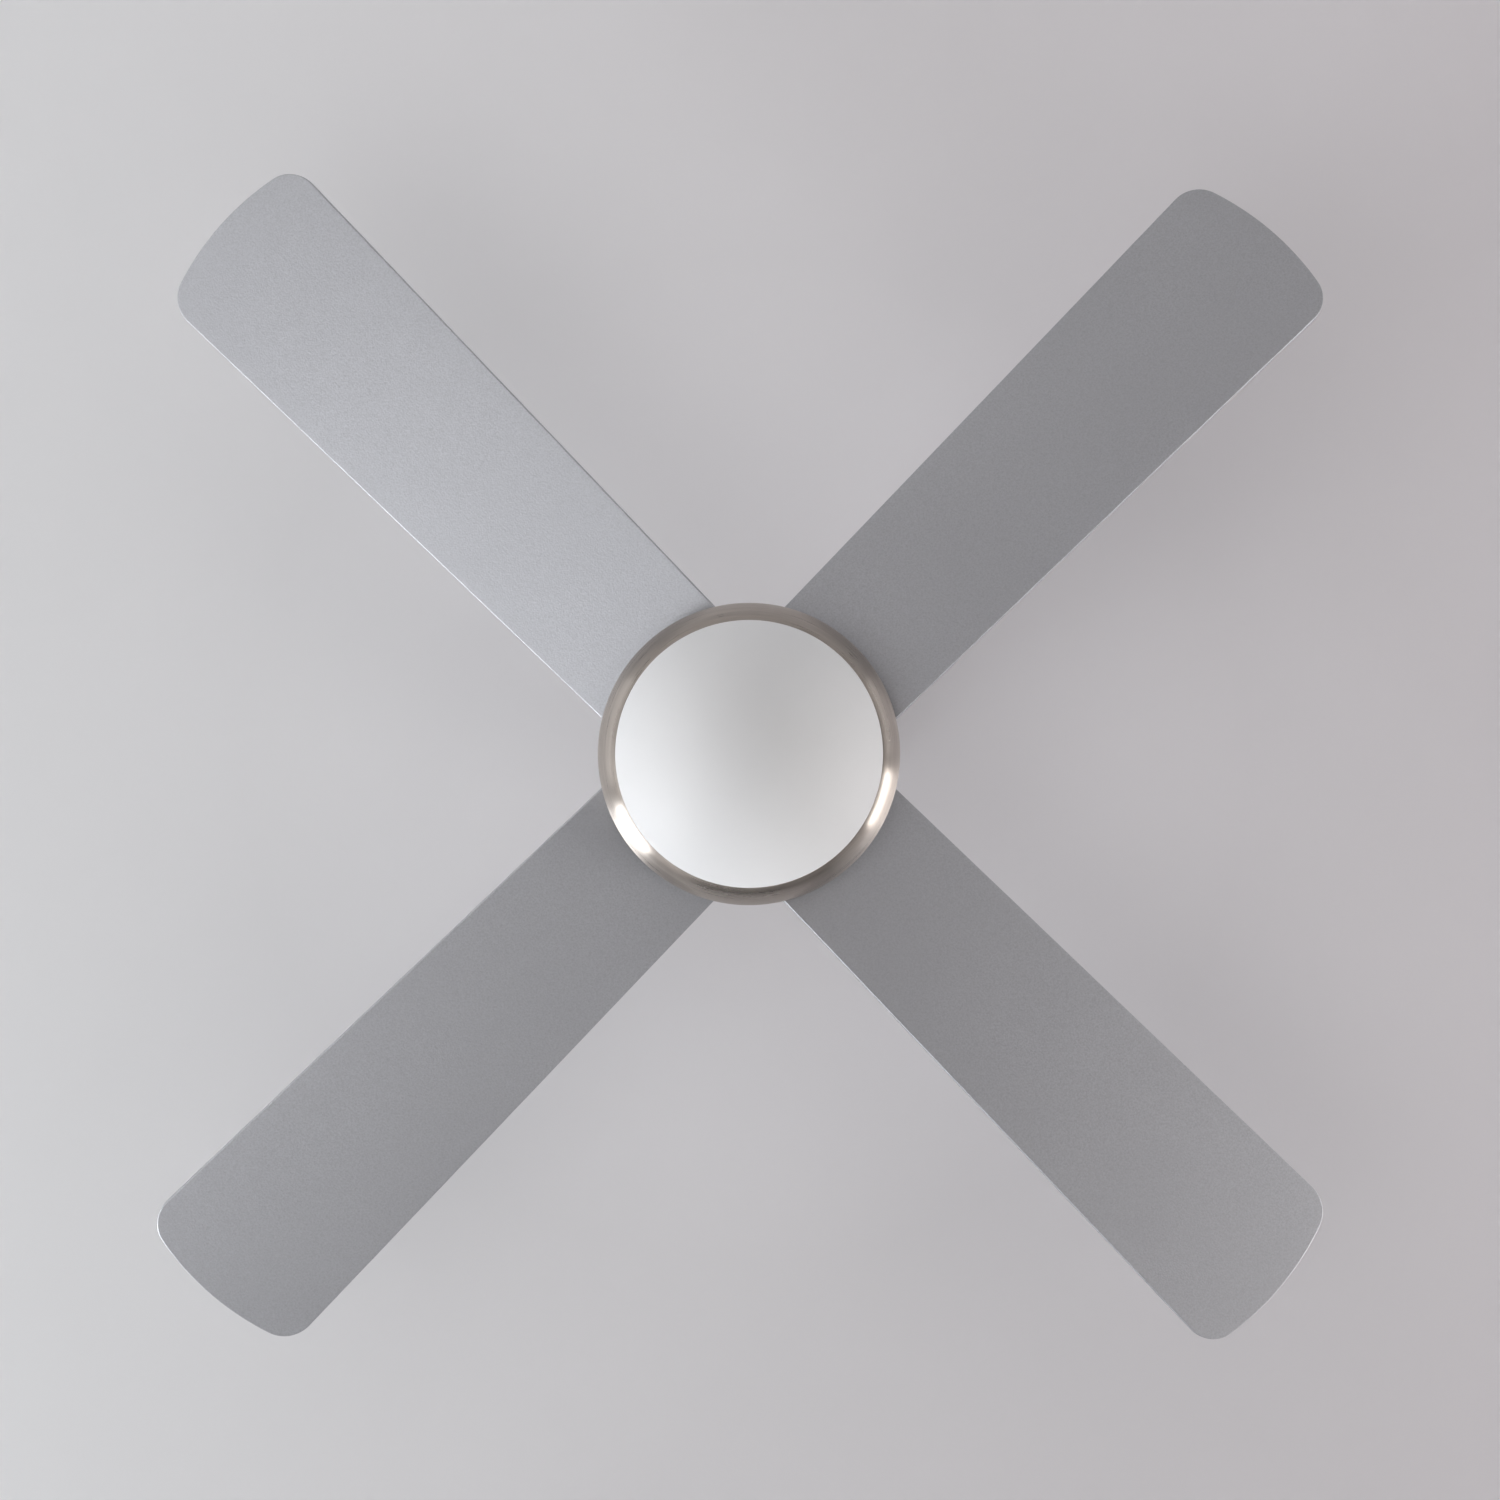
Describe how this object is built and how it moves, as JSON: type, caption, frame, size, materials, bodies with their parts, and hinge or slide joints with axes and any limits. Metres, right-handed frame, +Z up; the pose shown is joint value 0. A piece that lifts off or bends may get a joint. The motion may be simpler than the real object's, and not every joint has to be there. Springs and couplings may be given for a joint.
{
  "type": "ceiling fan with light",
  "caption": "Ceiling fan on a short downrod: pitched silver blades turn between a brushed nickel upper housing and a nickel bowl that holds an opal glass light shade.",
  "frame": {"origin": "on the fan axis, at the centre of the hanger bracket's face against the ceiling", "axes": "+Z up along the fan axis, so the fan hangs towards -Z; +X through the two ceiling screw holes; the blades lie along the diagonals"},
  "size_m": [1.017, 1.017, 0.368],
  "materials": {
    "brushed_nickel": "satin brushed nickel plate on pressed steel",
    "silver_blade": "fibreboard with satin metallic silver lacquer",
    "opal_glass": "opal white glass, satin etched outside",
    "zinc_plated_steel": "bright zinc plate",
    "bright_steel": "ground steel",
    "electrical_steel": "stacked laminations",
    "copper_winding": "enamelled copper wire",
    "cast_aluminium": "die cast, lightly blasted",
    "ring_aluminium": "pressed sheet",
    "white_enamel": "white stove enamel on steel",
    "white_nylon": "moulded",
    "black_nylon": "moulded",
    "black_fibre": "matt",
    "bulb_opal": "opal diffuser",
    "wire_insulation": "coloured insulation"
  },
  "bodies": {
    "ceiling_mount": {"hanger_bracket": "zinc_plated_steel", "terminal_block": "white_nylon", "terminal_screws": "zinc_plated_steel", "canopy": "brushed_nickel", "canopy_screws": "brushed_nickel", "canopy_ring": "brushed_nickel"},
    "hanging_frame": {"hanger_ball": "black_nylon", "ball_pin": "bright_steel", "ball_set_screw": "bright_steel", "downrod": "brushed_nickel", "supply_wires": "wire_insulation", "yoke": "cast_aluminium", "clevis_pin": "bright_steel", "clevis_clip": "bright_steel", "yoke_set_screws": "bright_steel", "yoke_cover": "brushed_nickel", "upper_housing": "brushed_nickel", "housing_screws": "zinc_plated_steel", "reverse_switch_body": "black_nylon", "reverse_switch_screws": "bright_steel", "motor_shaft": "bright_steel", "stator_core": "electrical_steel", "stator_windings": "copper_winding", "upper_bearing_inner_ring": "bright_steel", "lower_bearing_inner_ring": "bright_steel", "mounting_plate": "zinc_plated_steel", "shaft_nut": "zinc_plated_steel", "capacitor": "black_nylon", "plate_spacers": "zinc_plated_steel", "lower_bowl": "brushed_nickel", "light_pan": "white_enamel", "light_pan_screws": "zinc_plated_steel", "lampholder_bracket": "zinc_plated_steel", "lampholder_1": "white_nylon", "lampholder_2": "white_nylon", "bulb_1": "bulb_opal", "bulb_2": "bulb_opal"},
    "rotor": {"upper_bearing_outer_ring": "bright_steel", "upper_bearing_balls": "bright_steel", "lower_bearing_outer_ring": "bright_steel", "lower_bearing_balls": "bright_steel", "rotor_ring": "electrical_steel", "rotor_top_shell": "cast_aluminium", "rotor_bottom_shell": "cast_aluminium", "rotor_screws": "zinc_plated_steel", "blade_arm_1": "zinc_plated_steel", "blade_arm_2": "zinc_plated_steel", "blade_arm_3": "zinc_plated_steel", "blade_arm_4": "zinc_plated_steel", "arm_screws": "zinc_plated_steel", "blade_1": "silver_blade", "blade_2": "silver_blade", "blade_3": "silver_blade", "blade_4": "silver_blade", "blade_washers": "black_fibre", "blade_screws": "zinc_plated_steel"},
    "reverse_slider": {"reverse_switch_slider": "black_nylon"},
    "shade": {"glass_ring": "ring_aluminium", "glass_shade": "opal_glass"}
  },
  "joints": [
    {"name": "hanger_tilt", "type": "hinge", "parent": "ceiling_mount", "child": "hanging_frame", "pos_m": [0, 0, -0.034], "axis": [1, 0, 0], "range_deg": [-8, 8]},
    {"name": "fan_spin", "type": "hinge", "parent": "hanging_frame", "child": "rotor", "pos_m": [0, 0, -0.201], "axis": [0, 0, 1], "continuous": true},
    {"name": "reverse_slide", "type": "slide", "parent": "hanging_frame", "child": "reverse_slider", "axis": [1, 0, 0], "range_m": [0, 0.004]},
    {"name": "shade_twist", "type": "hinge", "parent": "hanging_frame", "child": "shade", "pos_m": [0, 0, -0.31], "axis": [0, 0, -1], "range_deg": [0, 30]}
  ]
}
